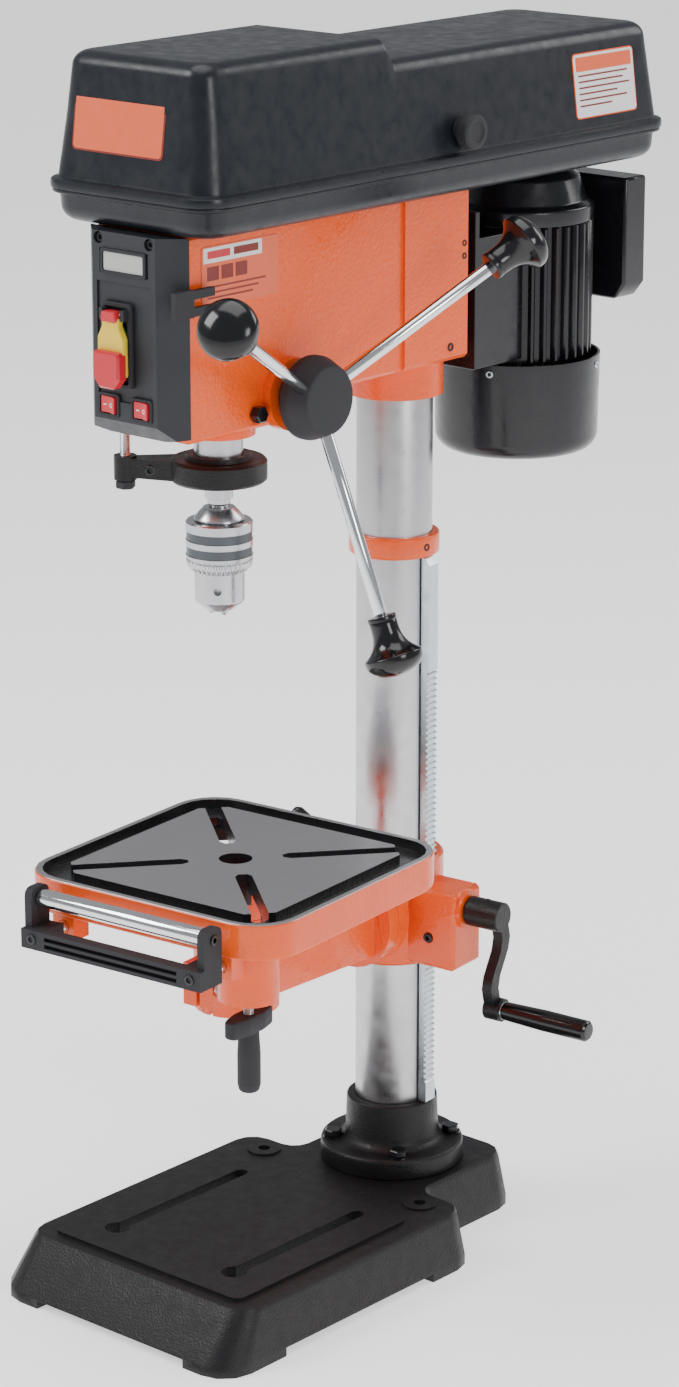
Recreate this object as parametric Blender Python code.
"""Bench drill press, modelled in metres with +Z up.

The origin is the column's axis on the bench.  The operator stands at -Y and the feed
handles and the table crank are on the +X side.  Every piece is one closed solid; pieces
that move hang from an empty that lies on their joint's axis.
"""

from math import asin, atan2, cos, pi, radians, sin, sqrt, tan

import bmesh
import bpy
from mathutils import Matrix, Vector

MM = 0.001

# ---------------------------------------------------------------- clearances
SEAT_GAP = 0.3 * MM        # between pieces that rest on or fit into each other
RUN_GAP = 0.45 * MM        # round a piece that turns or slides

# ---------------------------------------------------------------- driving sizes
COLUMN_R = 30 * MM
COLUMN_WALL = 4 * MM
COLUMN_TOP = 782 * MM
THROAT = 202 * MM          # column axis to spindle axis

BASE_HEIGHT = 46 * MM
BASE_HALF_WIDTH = 117 * MM
BASE_FRONT = -308 * MM
BASE_SHOULDER = -44 * MM
BASE_TAIL_HALF = 67 * MM
BASE_REAR = 70 * MM
BASE_FLARE = 7 * MM
BASE_FRONT_FLARE = 27 * MM
BASE_WALL = 9 * MM
BASE_RIB = 12 * MM
PLATE_HALF = 99 * MM
PLATE_FRONT = -295 * MM
PLATE_REAR = -95 * MM
PLATE_RISE = 2.5 * MM
SLOT_X = 62.5 * MM
SLOT_W = 11 * MM
KEYHOLE_R = 10 * MM
SLOT_FRONT = -260 * MM
SLOT_REAR = -115 * MM

FLANGE_R = 58.5 * MM
FLANGE_HEIGHT = 17 * MM
SLEEVE_R = 37 * MM
SLEEVE_HEIGHT = 38 * MM

RACK_WIDTH = 13 * MM
RACK_DEPTH = 7.5 * MM
RACK_TEETH = 70
LIFT_PITCH = 4.96 * MM
LIFT_TEETH = 19
COLLAR_R = COLUMN_R + 5.8 * MM
COLLAR_BOTTOM = 560 * MM
COLLAR_HEIGHT = 17 * MM

HEAD_HALF = 46 * MM
HEAD_FRONT = -283 * MM
HEAD_REAR = 35.5 * MM
HEAD_BOTTOM = 700 * MM
HEAD_STEP = 716 * MM       # underside of the rear part of the head
HEAD_TOP = 852 * MM
HEAD_WALL = 7 * MM
COLUMN_BOSS_R = 38 * MM
COLUMN_BOSS_BOTTOM = 688 * MM
BARREL_R = 28 * MM
BARREL_BOTTOM = 689 * MM

FEED_Z = 722 * MM
FEED_PITCH_R = 7.5 * MM
FEED_TEETH = 12
FEED_SHAFT_R = 9 * MM
FEED_BOSS_R = 27.5 * MM
FEED_BOSS_X = 54 * MM
HUB_FACE_X = 89 * MM
HUB_FACE_R = 25 * MM
HUB_R = 31.5 * MM
ROD_R = 5 * MM
ROD_LEAN = radians(20)
ROD_REACH = 168 * MM       # hub axis to the knob's collar, along the rod
ROD_PHASE = radians(153)
KNOB_R = 22 * MM
KNOB_LENGTH = 46 * MM

QUILL_R = 18.5 * MM
QUILL_BOTTOM = 651 * MM
QUILL_LENGTH = 150 * MM
QUILL_TRAVEL = 80 * MM
DEPTH_R = 36.5 * MM
DEPTH_BOTTOM = 653 * MM
DEPTH_HEIGHT = 17.5 * MM
DEPTH_ROD_X = -58 * MM
DEPTH_ROD_Y = -242 * MM
DEPTH_ROD_R = 4 * MM
DEPTH_ROD_TOP = 842 * MM
STOP_LUG_BOTTOM = 718 * MM
STOP_LUG_HEIGHT = 12 * MM

SPINDLE_R = 8 * MM
SPINDLE_NOSE_R = 10.8 * MM
SPINDLE_TOP = 926 * MM
SLEEVE_TOP = 623 * MM
CHUCK_R = 25.4 * MM
CHUCK_SLEEVE_HEIGHT = 38 * MM
CHUCK_BODY_R = 18.9 * MM
CHUCK_TOP = 633 * MM
CHUCK_NOSE = 553.5 * MM
JAW_R = 3.0 * MM
JAW_TIP = 551 * MM
JAW_OPEN = 6.0 * MM        # jaw centre from the spindle axis at its tip
JAW_TILT = radians(12)
JAW_LENGTH = 26 * MM

LIP_HALF = 84.7 * MM
LIP_FRONT = -302 * MM
LIP_REAR = 242 * MM
LIP_BOTTOM = 876.3 * MM
LIP_TOP = 884 * MM
LIP_CORNER = 24 * MM
LID_TOP_FRONT = 975.5 * MM
LID_TOP_REAR = 959.5 * MM
LID_STEP_Y = -88 * MM
LID_DRAFT = 0.13
LID_WALL = 2.5 * MM
PAN_WALL = 2.5 * MM
HINGE_R = 3.6 * MM

MOTOR_Y = 152 * MM
MOTOR_R = 60 * MM
MOTOR_FIN = 5 * MM
MOTOR_FINS = 28
MOTOR_TOP = 846 * MM
MOTOR_SHOULDER = 806 * MM
MOTOR_SPLIT = 697 * MM
MOTOR_BOTTOM = 619 * MM
FAN_COVER_R = 67 * MM
MOTOR_SLIDE = 12 * MM
MOUNT_FRONT = 51 * MM
BAR_R = 6 * MM
BAR_X = 22 * MM
BAR_Z = 812 * MM

IDLER_Y = -12 * MM
PULLEY_BASE = 862 * MM
PULLEY_STEP = 15 * MM
SPINDLE_STEPS = (60 * MM, 48 * MM, 36 * MM, 25 * MM)   # from the top step down
IDLER_STEPS = (24 * MM, 34 * MM, 45 * MM, 55 * MM)
MOTOR_STEPS = (50 * MM, 41 * MM, 31 * MM, 21 * MM)
BELT_W = 8 * MM
BELT_T = 6 * MM
GROOVE_W = 10 * MM
GROOVE_DEPTH = 6 * MM

HOUSING_FRONT = -300 * MM
HOUSING_HALF = 31.2 * MM
HOUSING_BACK_HALF = 49 * MM
HOUSING_TOP = 851 * MM
HOUSING_BOTTOM = 701 * MM
HOUSING_WALL = 3 * MM

TABLE_SWING = radians(5.8)   # how far the table stands swung about the column
TABLE_Z = 362 * MM
TABLE_Y = -211 * MM
TABLE_HALF = 119 * MM
TABLE_CORNER = 36 * MM
TABLE_SKIRT = 27.5 * MM
RIM_W = 4.5 * MM
LAND_HALF = 96.8 * MM
LAND_CHAMFER = 17 * MM
TROUGH_DEPTH = 8 * MM
TABLE_HOLE_R = 13 * MM
TABLE_SLOT_W = 13 * MM
SPIGOT_R = 20 * MM

TILT_Y = -50 * MM
TILT_Z = 270 * MM
TILT_R = 41 * MM
TILT_THICK = 12 * MM
CLAMP_HUB_R = 33 * MM
BRACKET_R = 41 * MM
BRACKET_BOTTOM = 225 * MM
BRACKET_TOP = 312 * MM
BOX_X = 76 * MM
BOX_FRONT = -25 * MM
BOX_BACK = 15 * MM
BOX_BOTTOM = 228 * MM
BOX_TOP = 293 * MM
CRANK_Y = -8 * MM
CRANK_Z = 277.5 * MM
CRANK_THROW = 78 * MM
CRANK_FACE = 112 * MM
GRIP_R = 8.5 * MM
GRIP_LENGTH = 80 * MM
WORM_R = 8 * MM

ROLLER_R = 7 * MM
ROLLER_HALF = 76.5 * MM
ROLLER_Y = TABLE_Y - TABLE_HALF - 20 * MM
ROLLER_Z = 355 * MM
GUIDE_X = 74 * MM
GUIDE_Z = 326 * MM
GUIDE_R = 5 * MM
GUIDE_LENGTH = 200 * MM
FRAME_HALF = 84 * MM
FRAME_THICK = 6.5 * MM
LOCK_X = 72 * MM
LOCK_Y = -292 * MM
LOCK_BOSS_R = 23 * MM

PADDLE_X = -6 * MM
PADDLE_HINGE_Z = 793 * MM
PADDLE_HALF = 13 * MM
PADDLE_NECK = 8 * MM
PADDLE_BOTTOM = 739.5 * MM
PADDLE_SHOULDER = 782 * MM
START_Z = 776 * MM
STOP_Z = 752 * MM
BUTTON_R = 8 * MM
HOUSING_CHAMFER = 12.5 * MM

CLAMP_TOP = 322 * MM       # where the arm's clamp hub meets the table
TABLE_SLOT_START = 42 * MM
TABLE_SLOT_END = 118 * MM
TABLE_SLOT_RUNOUT = 133 * MM

LIFT_PITCH_R = LIFT_PITCH * LIFT_TEETH / (2 * pi)
LIFT_X = COLUMN_R + 0.5 * MM + RACK_DEPTH - 1.0 * MM + LIFT_PITCH_R
LIFT_Z = CRANK_Z - 24.2 * MM
LIFT_FIRST = LIFT_Z - 27 * LIFT_PITCH + LIFT_PITCH / 2


# ---------------------------------------------------------------- scene helpers
FRAMES = {}


def clear_scene():
    for item in list(bpy.data.objects):
        bpy.data.objects.remove(item, do_unlink=True)


def finish_of(name, colour, roughness, metallic=0.0):
    found = bpy.data.materials.new(name)
    found.use_nodes = True
    shader = found.node_tree.nodes["Principled BSDF"]
    shader.inputs["Base Color"].default_value = (*colour, 1.0)
    shader.inputs["Roughness"].default_value = roughness
    shader.inputs["Metallic"].default_value = metallic
    return found


def axis_empty(name, point, parent=None, turn=0.0):
    """An empty on a joint's axis; point is in the frame that its pieces are drawn in."""
    empty = bpy.data.objects.new(name, None)
    bpy.context.collection.objects.link(empty)
    base = Vector((0, 0, 0))
    if parent is not None:
        empty.parent = parent
        base = FRAMES[parent.name]
    empty.location = Vector(point) - base
    empty.rotation_euler = (0, 0, turn)
    FRAMES[name] = Vector(point)
    return empty


def link_mesh(name, bm, parent=None, finish=None):
    """Turns a bmesh drawn in machine coordinates into an object that hangs from parent."""
    base = FRAMES[parent.name] if parent is not None else Vector((0, 0, 0))
    bmesh.ops.remove_doubles(bm, verts=bm.verts, dist=1e-7)
    bmesh.ops.recalc_face_normals(bm, faces=bm.faces)
    bmesh.ops.translate(bm, verts=bm.verts, vec=-base)
    mesh = bpy.data.meshes.new(name)
    bm.to_mesh(mesh)
    bm.free()
    mesh.shade_smooth()
    mesh.set_sharp_from_angle(angle=radians(35))
    item = bpy.data.objects.new(name, mesh)
    bpy.context.collection.objects.link(item)
    if parent is not None:
        item.parent = parent
    if finish is not None:
        mesh.materials.append(finish)
    return item


def shape(item, operation, *tools):
    """Adds one exact Boolean for each tool, which stays as a hidden guide."""
    for tool in tools:
        tool.hide_render = True
        tool.display_type = "WIRE"
        step = item.modifiers.new(operation.title(), "BOOLEAN")
        step.operation = operation
        step.solver = "EXACT"
        step.object = tool
    return item


def tool(bm, parent=None):
    return link_mesh("guide", bm, parent)


def join(item, *parts):
    return shape(item, "UNION", *parts)


def cut(item, *parts):
    return shape(item, "DIFFERENCE", *parts)


# ---------------------------------------------------------------- solids
def frame_along(axis, at):
    """A matrix whose local Z points along axis and whose origin is at."""
    turn = {
        "Z": Matrix.Identity(4),
        "X": Matrix(((0, 0, 1, 0), (1, 0, 0, 0), (0, 1, 0, 0), (0, 0, 0, 1))),
        "Y": Matrix(((1, 0, 0, 0), (0, 0, 1, 0), (0, -1, 0, 0), (0, 0, 0, 1))),
    }[axis]
    return Matrix.Translation(Vector(at)) @ turn


def loft(rings, at=Matrix.Identity(4)):
    """A closed solid through rings of equal length, with flat ends."""
    bm = bmesh.new()
    rows = [[bm.verts.new(at @ Vector(p)) for p in ring] for ring in rings]
    count = len(rows[0])
    for low, high in zip(rows, rows[1:]):
        for k in range(count):
            n = (k + 1) % count
            bm.faces.new((low[k], low[n], high[n], high[k]))
    bm.faces.new(rows[0][::-1])
    bm.faces.new(rows[-1])
    return bm


def prism(outline, low, high, axis="Z", at=(0, 0, 0)):
    """The outline, a list of points in the plane, pushed from low to high along axis."""
    rings = [[(x, y, z) for x, y in outline] for z in (low, high)]
    return loft(rings, frame_along(axis, at))


def block(x, y, z):
    """A box between two values of x, of y and of z."""
    (x0, x1), (y0, y1), (z0, z1) = x, y, z
    return prism([(x0, y0), (x1, y0), (x1, y1), (x0, y1)], z0, z1)


def turned(profile, at=Matrix.Identity(4), sides=24, phase=0.0):
    """A lathe solid; profile is (radius, height) from bottom to top, closed on the axis."""
    bm = bmesh.new()
    rows = []
    for r, h in profile:
        if r < 1e-9:
            rows.append([bm.verts.new(at @ Vector((0, 0, h)))])
            continue
        ring = []
        for k in range(sides):
            a = phase + 2 * pi * k / sides
            ring.append(bm.verts.new(at @ Vector((r * cos(a), r * sin(a), h))))
        rows.append(ring)
    for low, high in zip(rows, rows[1:]):
        for k in range(sides):
            n = (k + 1) % sides
            if len(low) == 1:
                bm.faces.new((low[0], high[n], high[k]))
            elif len(high) == 1:
                bm.faces.new((low[k], low[n], high[0]))
            else:
                bm.faces.new((low[k], low[n], high[n], high[k]))
    if len(rows[0]) > 1:
        bm.faces.new(rows[0][::-1])
    if len(rows[-1]) > 1:
        bm.faces.new(rows[-1])
    return bm


def disc(r, low, high, axis="Z", at=(0, 0, 0), sides=24, phase=0.0):
    return turned([(r, low), (r, high)], frame_along(axis, at), sides, phase)


def ring_solid(profile, at=Matrix.Identity(4), sides=24):
    """A lathe solid with a hole; profile is a closed loop of (radius, height)."""
    bm = bmesh.new()
    rows = []
    for k in range(sides):
        a = 2 * pi * k / sides
        rows.append([bm.verts.new(at @ Vector((r * cos(a), r * sin(a), h))) for r, h in profile])
    count = len(profile)
    for k in range(sides):
        here, there = rows[k], rows[(k + 1) % sides]
        for j in range(count):
            n = (j + 1) % count
            bm.faces.new((here[j], here[n], there[n], there[j]))
    return bm


def rounded(points, radii, steps=4):
    """A closed outline with each corner rounded by an arc of its own radius."""
    out = []
    count = len(points)
    for k in range(count):
        p = Vector(points[k])
        a = (Vector(points[k - 1]) - p).normalized()
        b = (Vector(points[(k + 1) % count]) - p).normalized()
        r = radii[k] if isinstance(radii, (list, tuple)) else radii
        if r <= 0:
            out.append((p.x, p.y))
            continue
        half = a.angle(b) / 2
        centre = p + (a + b).normalized() * (r / sin(half))
        start = p + a * (r / tan(half)) - centre
        end = p + b * (r / tan(half)) - centre
        a0 = atan2(start.y, start.x)
        sweep = atan2(end.y, end.x) - a0
        sweep = (sweep + pi) % (2 * pi) - pi
        for s in range(steps + 1):
            t = a0 + sweep * s / steps
            out.append((centre.x + r * cos(t), centre.y + r * sin(t)))
    return out


def rounded_box(x, y, r, steps=4):
    return rounded([(x[0], y[0]), (x[1], y[0]), (x[1], y[1]), (x[0], y[1])], r, steps)


def slot_outline(a, b, half, steps=3):
    """A stadium about the line from a to b."""
    along = atan2(b[1] - a[1], b[0] - a[0])
    out = []
    for centre, start in ((b, along - pi / 2), (a, along + pi / 2)):
        for s in range(steps + 1):
            t = start + pi * s / steps
            out.append((centre[0] + half * cos(t), centre[1] + half * sin(t)))
    return out


def hex_outline(r, at=(0, 0), phase=0.0):
    return [(at[0] + r * cos(phase + k * pi / 3), at[1] + r * sin(phase + k * pi / 3)) for k in range(6)]


def belt_outline(y0, r0, y1, r1, steps=10):
    """The outline of two circles on the Y axis and their outer tangents."""
    lean = asin((r0 - r1) / (y1 - y0))
    out = []
    for s in range(steps + 1):
        t = lean + (pi - 2 * lean) * s / steps
        out.append((r1 * cos(t), y1 + r1 * sin(t)))
    for s in range(steps + 1):
        t = pi - lean + (pi + 2 * lean) * s / steps
        out.append((r0 * cos(t), y0 + r0 * sin(t)))
    return out


def bevelled(item, width, segments=2, angle=radians(40)):
    """Rounds the sharp edges of a plain solid before it is joined or cut."""
    edge = item.modifiers.new("Edges", "BEVEL")
    edge.width = width
    edge.segments = segments
    edge.limit_method = "ANGLE"
    edge.angle_limit = angle
    return item


# ---------------------------------------------------------------- base and column
def base_outline(grow, front_grow, steps=3):
    """The base's plan: a wide front part, and a narrower tail that carries the column."""
    w = BASE_HALF_WIDTH + grow
    t = BASE_TAIL_HALF + grow
    front = BASE_FRONT - front_grow
    shoulder = BASE_SHOULDER + grow
    rear = BASE_REAR + grow
    points = [(-w, front), (w, front), (w, shoulder), (t, shoulder),
              (t, rear), (-t, rear), (-t, shoulder), (-w, shoulder)]
    convex = 20 * MM + grow
    concave = max(14 * MM - grow, 4 * MM)
    radii = [convex, convex, convex, concave, convex, convex, concave, convex]
    return rounded(points, radii, steps)


def make_base(finish):
    foot = 9 * MM
    levels = [(0, BASE_FLARE, BASE_FRONT_FLARE), (foot, BASE_FLARE, BASE_FRONT_FLARE),
              (BASE_HEIGHT - 4 * MM, 0.6 * MM, 1.5 * MM), (BASE_HEIGHT, -1.5 * MM, -1.5 * MM)]
    base = link_mesh("base_casting", loft(
        [[(x, y, z) for x, y in base_outline(g, f)] for z, g, f in levels]), None, finish)
    plate = rounded_box((-PLATE_HALF, PLATE_HALF), (PLATE_FRONT, PLATE_REAR), 8 * MM, 3)
    join(base, tool(prism(plate, BASE_HEIGHT - 3 * MM, BASE_HEIGHT + PLATE_RISE)))
    bolt_x = 84 * MM
    bolt_y = -64 * MM
    for side in (-1, 1):
        at = (side * bolt_x, bolt_y, 0)
        join(base, tool(disc(14 * MM, BASE_HEIGHT - 3 * MM, BASE_HEIGHT + 1.5 * MM, at=at, sides=20)))
    make_base_cuts(base, bolt_x, bolt_y)
    return base


def make_base_cuts(base, bolt_x, bolt_y):
    roof = BASE_HEIGHT - BASE_WALL
    side = BASE_HALF_WIDTH - BASE_WALL
    tail = BASE_TAIL_HALF - BASE_WALL
    rib = BASE_RIB / 2
    split = BASE_SHOULDER - BASE_WALL - 4 * MM
    low = -1 * MM
    cut(base, tool(block((-side, side), (BASE_FRONT + 4 * MM, split), (low, roof))))
    rear = BASE_REAR - BASE_WALL
    for sx in (-1, 1):
        for y0, y1 in ((split + BASE_RIB, -rib), (rib, rear)):
            x0, x1 = sorted((sx * rib, sx * tail))
            cut(base, tool(block((x0, x1), (y0, y1), (low, roof))))
    notch = 7 * MM
    far = 2 * BASE_HALF_WIDTH
    cut(base, tool(block((-78 * MM, 78 * MM), (2 * BASE_FRONT, BASE_FRONT + 12 * MM), (low, notch))))
    cut(base, tool(block((-far, far), (BASE_FRONT + 40 * MM, BASE_SHOULDER - 50 * MM), (low, notch))))
    high = BASE_HEIGHT + 10 * MM
    for sx in (-1, 1):
        x = sx * SLOT_X
        cut(base, tool(prism(slot_outline((x, SLOT_FRONT), (x, SLOT_REAR), SLOT_W / 2), low, high)))
        cut(base, tool(disc(KEYHOLE_R, low, high, at=(x, SLOT_FRONT, 0), sides=20)))
        cut(base, tool(disc(5 * MM, low, high, at=(sx * bolt_x, bolt_y, 0), sides=16)))


def make_flange(finish):
    z = BASE_HEIGHT + SEAT_GAP
    top = z + FLANGE_HEIGHT
    bore = COLUMN_R + SEAT_GAP
    profile = [(bore, z), (FLANGE_R, z), (FLANGE_R, top - 3 * MM), (FLANGE_R - 3 * MM, top),
               (SLEEVE_R + 6 * MM, top), (SLEEVE_R, top + 8 * MM),
               (SLEEVE_R, top + SLEEVE_HEIGHT - 2 * MM), (SLEEVE_R - 2 * MM, top + SLEEVE_HEIGHT),
               (bore, top + SLEEVE_HEIGHT)]
    flange = link_mesh("column_flange", ring_solid(profile, sides=28), None, finish)
    for k in range(4):
        a = radians(47 + 90 * k)
        at = (48.5 * MM * cos(a), 48.5 * MM * sin(a), 0)
        cut(flange, tool(disc(4.6 * MM, z - MM, top + MM, at=at, sides=12)))
    return top + SLEEVE_HEIGHT


def make_column(finish):
    z = BASE_HEIGHT + SEAT_GAP
    inner = COLUMN_R - COLUMN_WALL
    profile = [(inner, z), (COLUMN_R, z), (COLUMN_R, COLUMN_TOP), (inner, COLUMN_TOP)]
    return link_mesh("column_tube", ring_solid(profile, sides=40), None, finish)


def make_rack_collar(finish):
    bore = COLUMN_R + SEAT_GAP
    low = COLLAR_BOTTOM
    high = COLLAR_BOTTOM + COLLAR_HEIGHT
    edge = 1.5 * MM
    profile = [(bore, low), (COLLAR_R - edge, low), (COLLAR_R, low + edge),
               (COLLAR_R, high - edge), (COLLAR_R - edge, high), (bore, high)]
    return link_mesh("rack_collar", ring_solid(profile, sides=32), None, finish)


# ---------------------------------------------------------------- head
def side_prism(outline, x0, x1):
    """A prism along X whose outline is given as (y, z)."""
    return prism(outline, x0, x1, "X")


def make_head(finish):
    top = HEAD_TOP
    wall = HEAD_WALL
    drop = -150 * MM
    outline = [(HEAD_FRONT, HEAD_BOTTOM), (drop, HEAD_BOTTOM), (drop + 22 * MM, HEAD_STEP),
               (HEAD_REAR, HEAD_STEP), (HEAD_REAR, top), (HEAD_FRONT, top)]
    head = link_mesh("head_casting", side_prism(outline, -HEAD_HALF, HEAD_HALF), None, finish)
    bevelled(head, 3 * MM, 1)
    inner = HEAD_HALF - wall
    hollow = [(HEAD_FRONT + wall, HEAD_BOTTOM + wall), (drop - wall, HEAD_BOTTOM + wall),
              (drop + 18 * MM, HEAD_STEP + wall), (HEAD_REAR - wall, HEAD_STEP + wall),
              (HEAD_REAR - wall, top + wall), (HEAD_FRONT + wall, top + wall)]
    cut(head, tool(side_prism(hollow, -inner, inner)))
    axis = (0, -THROAT, 0)
    join(head, tool(disc(BARREL_R, BARREL_BOTTOM, top - 45 * MM, at=axis, sides=28)))
    join(head, tool(disc(COLUMN_BOSS_R, COLUMN_BOSS_BOTTOM, COLUMN_TOP + 10 * MM, sides=32)))
    make_feed_bosses(head)
    make_bar_guides(head)
    make_idler_post(head)
    cut(head, tool(disc(QUILL_R + RUN_GAP, 0.6, 0.9, at=axis, sides=28)))
    cut(head, tool(disc(COLUMN_R + SEAT_GAP, 0.6, COLUMN_TOP + SEAT_GAP, sides=40)))
    at = (0, feed_y(), FEED_Z)
    cut(head, tool(disc(FEED_SHAFT_R + RUN_GAP, -80 * MM, 80 * MM, "X", at, 24)))
    groove = 10 * MM
    depth = 2.5 * MM
    for side in (-1, 1):
        x = sorted((side * (HEAD_HALF - depth), side * (HEAD_HALF + 5 * MM)))
        cut(head, tool(block(x, (-52.5 * MM, -52.5 * MM + groove), (HEAD_STEP - 5 * MM, top + MM))))
    return head


def feed_y():
    """The feed shaft lies behind the quill, one pitch radius from the quill's rack."""
    return -THROAT + QUILL_R - 1.0 * MM + FEED_PITCH_R


def make_feed_bosses(head):
    at = (0, feed_y(), FEED_Z)
    join(head, tool(disc(FEED_BOSS_R, HEAD_HALF - 4 * MM, FEED_BOSS_X, "X", at, 28)))
    join(head, tool(disc(FEED_BOSS_R, -FEED_BOSS_X, -HEAD_HALF + 4 * MM, "X", at, 28)))
    x = (DEPTH_ROD_X - 11 * MM, -HEAD_HALF + 4 * MM)
    y = (DEPTH_ROD_Y - 12 * MM, DEPTH_ROD_Y + 12 * MM)
    lug = rounded_box(x, y, 0)
    join(head, tool(prism(lug, STOP_LUG_BOTTOM, STOP_LUG_BOTTOM + STOP_LUG_HEIGHT)))
    hole = (DEPTH_ROD_X, DEPTH_ROD_Y, 0)
    cut(head, tool(disc(DEPTH_ROD_R + 0.6 * MM, 0.6, 0.9, at=hole, sides=16)))


def make_bar_guides(head):
    y = (HEAD_REAR - 26 * MM, HEAD_REAR - 2 * MM)
    x = BAR_X + 11 * MM
    join(head, tool(block((-x, x), y, (BAR_Z - 12 * MM, BAR_Z + 12 * MM))))
    for side in (-1, 1):
        at = (side * BAR_X, 0, BAR_Z)
        cut(head, tool(disc(BAR_R + RUN_GAP, -0.1, 0.1, "Y", at, 16)))


def make_idler_post(head):
    """A bridge across the head that carries the idler's post."""
    y = (IDLER_Y - 12 * MM, IDLER_Y + 6 * MM)
    join(head,
         tool(block((-HEAD_HALF + 2 * MM, HEAD_HALF - 2 * MM), y, (HEAD_TOP - 14 * MM, HEAD_TOP - 2 * MM))))


# ---------------------------------------------------------------- quill, spindle, chuck
def gear_outline(teeth, pitch_r, rise, drop, phase=0.0):
    """Straight-sided gear teeth; each is narrower than half a pitch, to run with play."""
    out = []
    step = 2 * pi / teeth
    for k in range(teeth):
        a = phase + k * step
        for share, r in ((-0.21, pitch_r - drop), (-0.09, pitch_r + rise),
                         (0.09, pitch_r + rise), (0.21, pitch_r - drop)):
            out.append((r * cos(a + share * step), r * sin(a + share * step)))
    return out


def gap_outline(first, count, pitch, mouth, crest, floor):
    """A cutter for straight rack teeth, as (depth, height) points; a gap at every pitch."""
    out = [(mouth, first - pitch), (crest, first - pitch)]
    for k in range(count):
        z = first + k * pitch
        for share, d in ((-0.34, crest), (-0.20, floor), (0.20, floor), (0.34, crest)):
            out.append((d, z + share * pitch))
    last = first + count * pitch
    return out + [(crest, last), (mouth, last)]


def make_quill(parent, finish):
    low = QUILL_BOTTOM
    high = QUILL_BOTTOM + QUILL_LENGTH
    bore = SPINDLE_R + 1.2 * MM
    mouth = SPINDLE_NOSE_R + RUN_GAP
    profile = [(mouth, low), (QUILL_R, low), (QUILL_R, high), (bore, high),
               (bore, low + 14 * MM), (mouth, low + 14 * MM)]
    at = Matrix.Translation((0, -THROAT, 0))
    quill = link_mesh("quill", ring_solid(profile, at, 28), parent, finish)
    pitch = 2 * pi * FEED_PITCH_R / FEED_TEETH
    pitch_line = -THROAT + QUILL_R - 1.0 * MM
    root = pitch_line - 1.2 * MM
    tip = pitch_line + 0.8 * MM
    first = FEED_Z - 4 * pitch
    count = int(QUILL_TRAVEL / pitch) + 6
    teeth = gap_outline(first, count, pitch, pitch_line + 6 * MM, tip, root)
    cut(quill, tool(side_prism(teeth, -6.5 * MM, 6.5 * MM), parent))
    return quill


def make_depth_collar(parent, finish):
    low = DEPTH_BOTTOM
    high = DEPTH_BOTTOM + DEPTH_HEIGHT
    axis = (0, -THROAT, 0)
    at = Matrix.Translation(axis)
    body = turned([(DEPTH_R - 2 * MM, low), (DEPTH_R, low + 2 * MM), (DEPTH_R, high - 2 * MM),
                   (DEPTH_R - 2 * MM, high), (QUILL_R + 7 * MM, high), (QUILL_R + 6 * MM, high + 3.5 * MM)],
                  at, 32)
    collar = link_mesh("depth_collar", body, parent, finish)
    lobe = (DEPTH_ROD_X, DEPTH_ROD_Y, 0)
    away = Vector((DEPTH_ROD_X, DEPTH_ROD_Y + THROAT, 0)).normalized()
    across = Vector((-away.y, away.x, 0))
    near = Vector(axis) + away * (DEPTH_R - 6 * MM)
    far = Vector(lobe) - away * 4 * MM
    neck = [near - across * 15 * MM, far - across * 6.5 * MM, far + across * 6.5 * MM,
            near + across * 15 * MM]
    join(collar, tool(prism([(p.x, p.y) for p in neck], low + 1.5 * MM, high - 1.5 * MM), parent))
    join(collar, tool(disc(8.6 * MM, low - 1 * MM, high, at=lobe, sides=24), parent))
    cut(collar, tool(disc(QUILL_R + SEAT_GAP, 0.6, 0.7, at=axis, sides=28), parent))
    cut(collar, tool(disc(DEPTH_ROD_R + SEAT_GAP, 0.6, 0.7, at=lobe, sides=12), parent))
    return collar


def make_depth_rod(parent, finish, dark):
    x, y = DEPTH_ROD_X, DEPTH_ROD_Y
    foot = DEPTH_BOTTOM - MM - SEAT_GAP
    rod = link_mesh("depth_rod", disc(DEPTH_ROD_R, foot - 7.5 * MM, DEPTH_ROD_TOP, at=(x, y, 0), sides=12),
                    parent, finish)
    join(rod, tool(prism(hex_outline(7.6 * MM, (x, y)), foot - 6.5 * MM, foot), parent))
    low = STOP_LUG_BOTTOM + STOP_LUG_HEIGHT + QUILL_TRAVEL + SEAT_GAP
    bore = DEPTH_ROD_R + SEAT_GAP
    profile = [(bore, low), (8.5 * MM, low), (9 * MM, low + MM), (9 * MM, low + 10 * MM),
               (8 * MM, low + 11 * MM), (bore, low + 11 * MM)]
    at = Matrix.Translation((x, y, 0))
    link_mesh("depth_stop_nut", ring_solid(profile, at, 24), parent, dark)


def make_spindle(parent, finish):
    nose = QUILL_BOTTOM - 11 * MM
    root = CHUCK_TOP - 20 * MM
    profile = [(6.2 * MM, root), (7.6 * MM, CHUCK_TOP + 2 * MM), (8.8 * MM, CHUCK_TOP + 3 * MM),
               (8.8 * MM, nose), (SPINDLE_NOSE_R, nose), (SPINDLE_NOSE_R, QUILL_BOTTOM + 12 * MM),
               (SPINDLE_R, QUILL_BOTTOM + 12 * MM), (SPINDLE_R, SPINDLE_TOP - MM), (SPINDLE_R - MM,
                                                                                    SPINDLE_TOP)]
    at = Matrix.Translation((0, -THROAT, 0))
    return link_mesh("spindle", turned(profile, at, 20), parent, finish)


def jaw_matrix(k, slide=0.0):
    """Local Z runs up along jaw k's own axis, from the centre of its tip."""
    turn = radians(101 + 120 * k)
    foot = Matrix.Translation((0, -THROAT, 0)) @ Matrix.Rotation(turn, 4, "Z")
    return foot @ Matrix.Translation((JAW_OPEN, 0, JAW_TIP)) @ Matrix.Rotation(JAW_TILT, 4, "Y")


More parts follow.
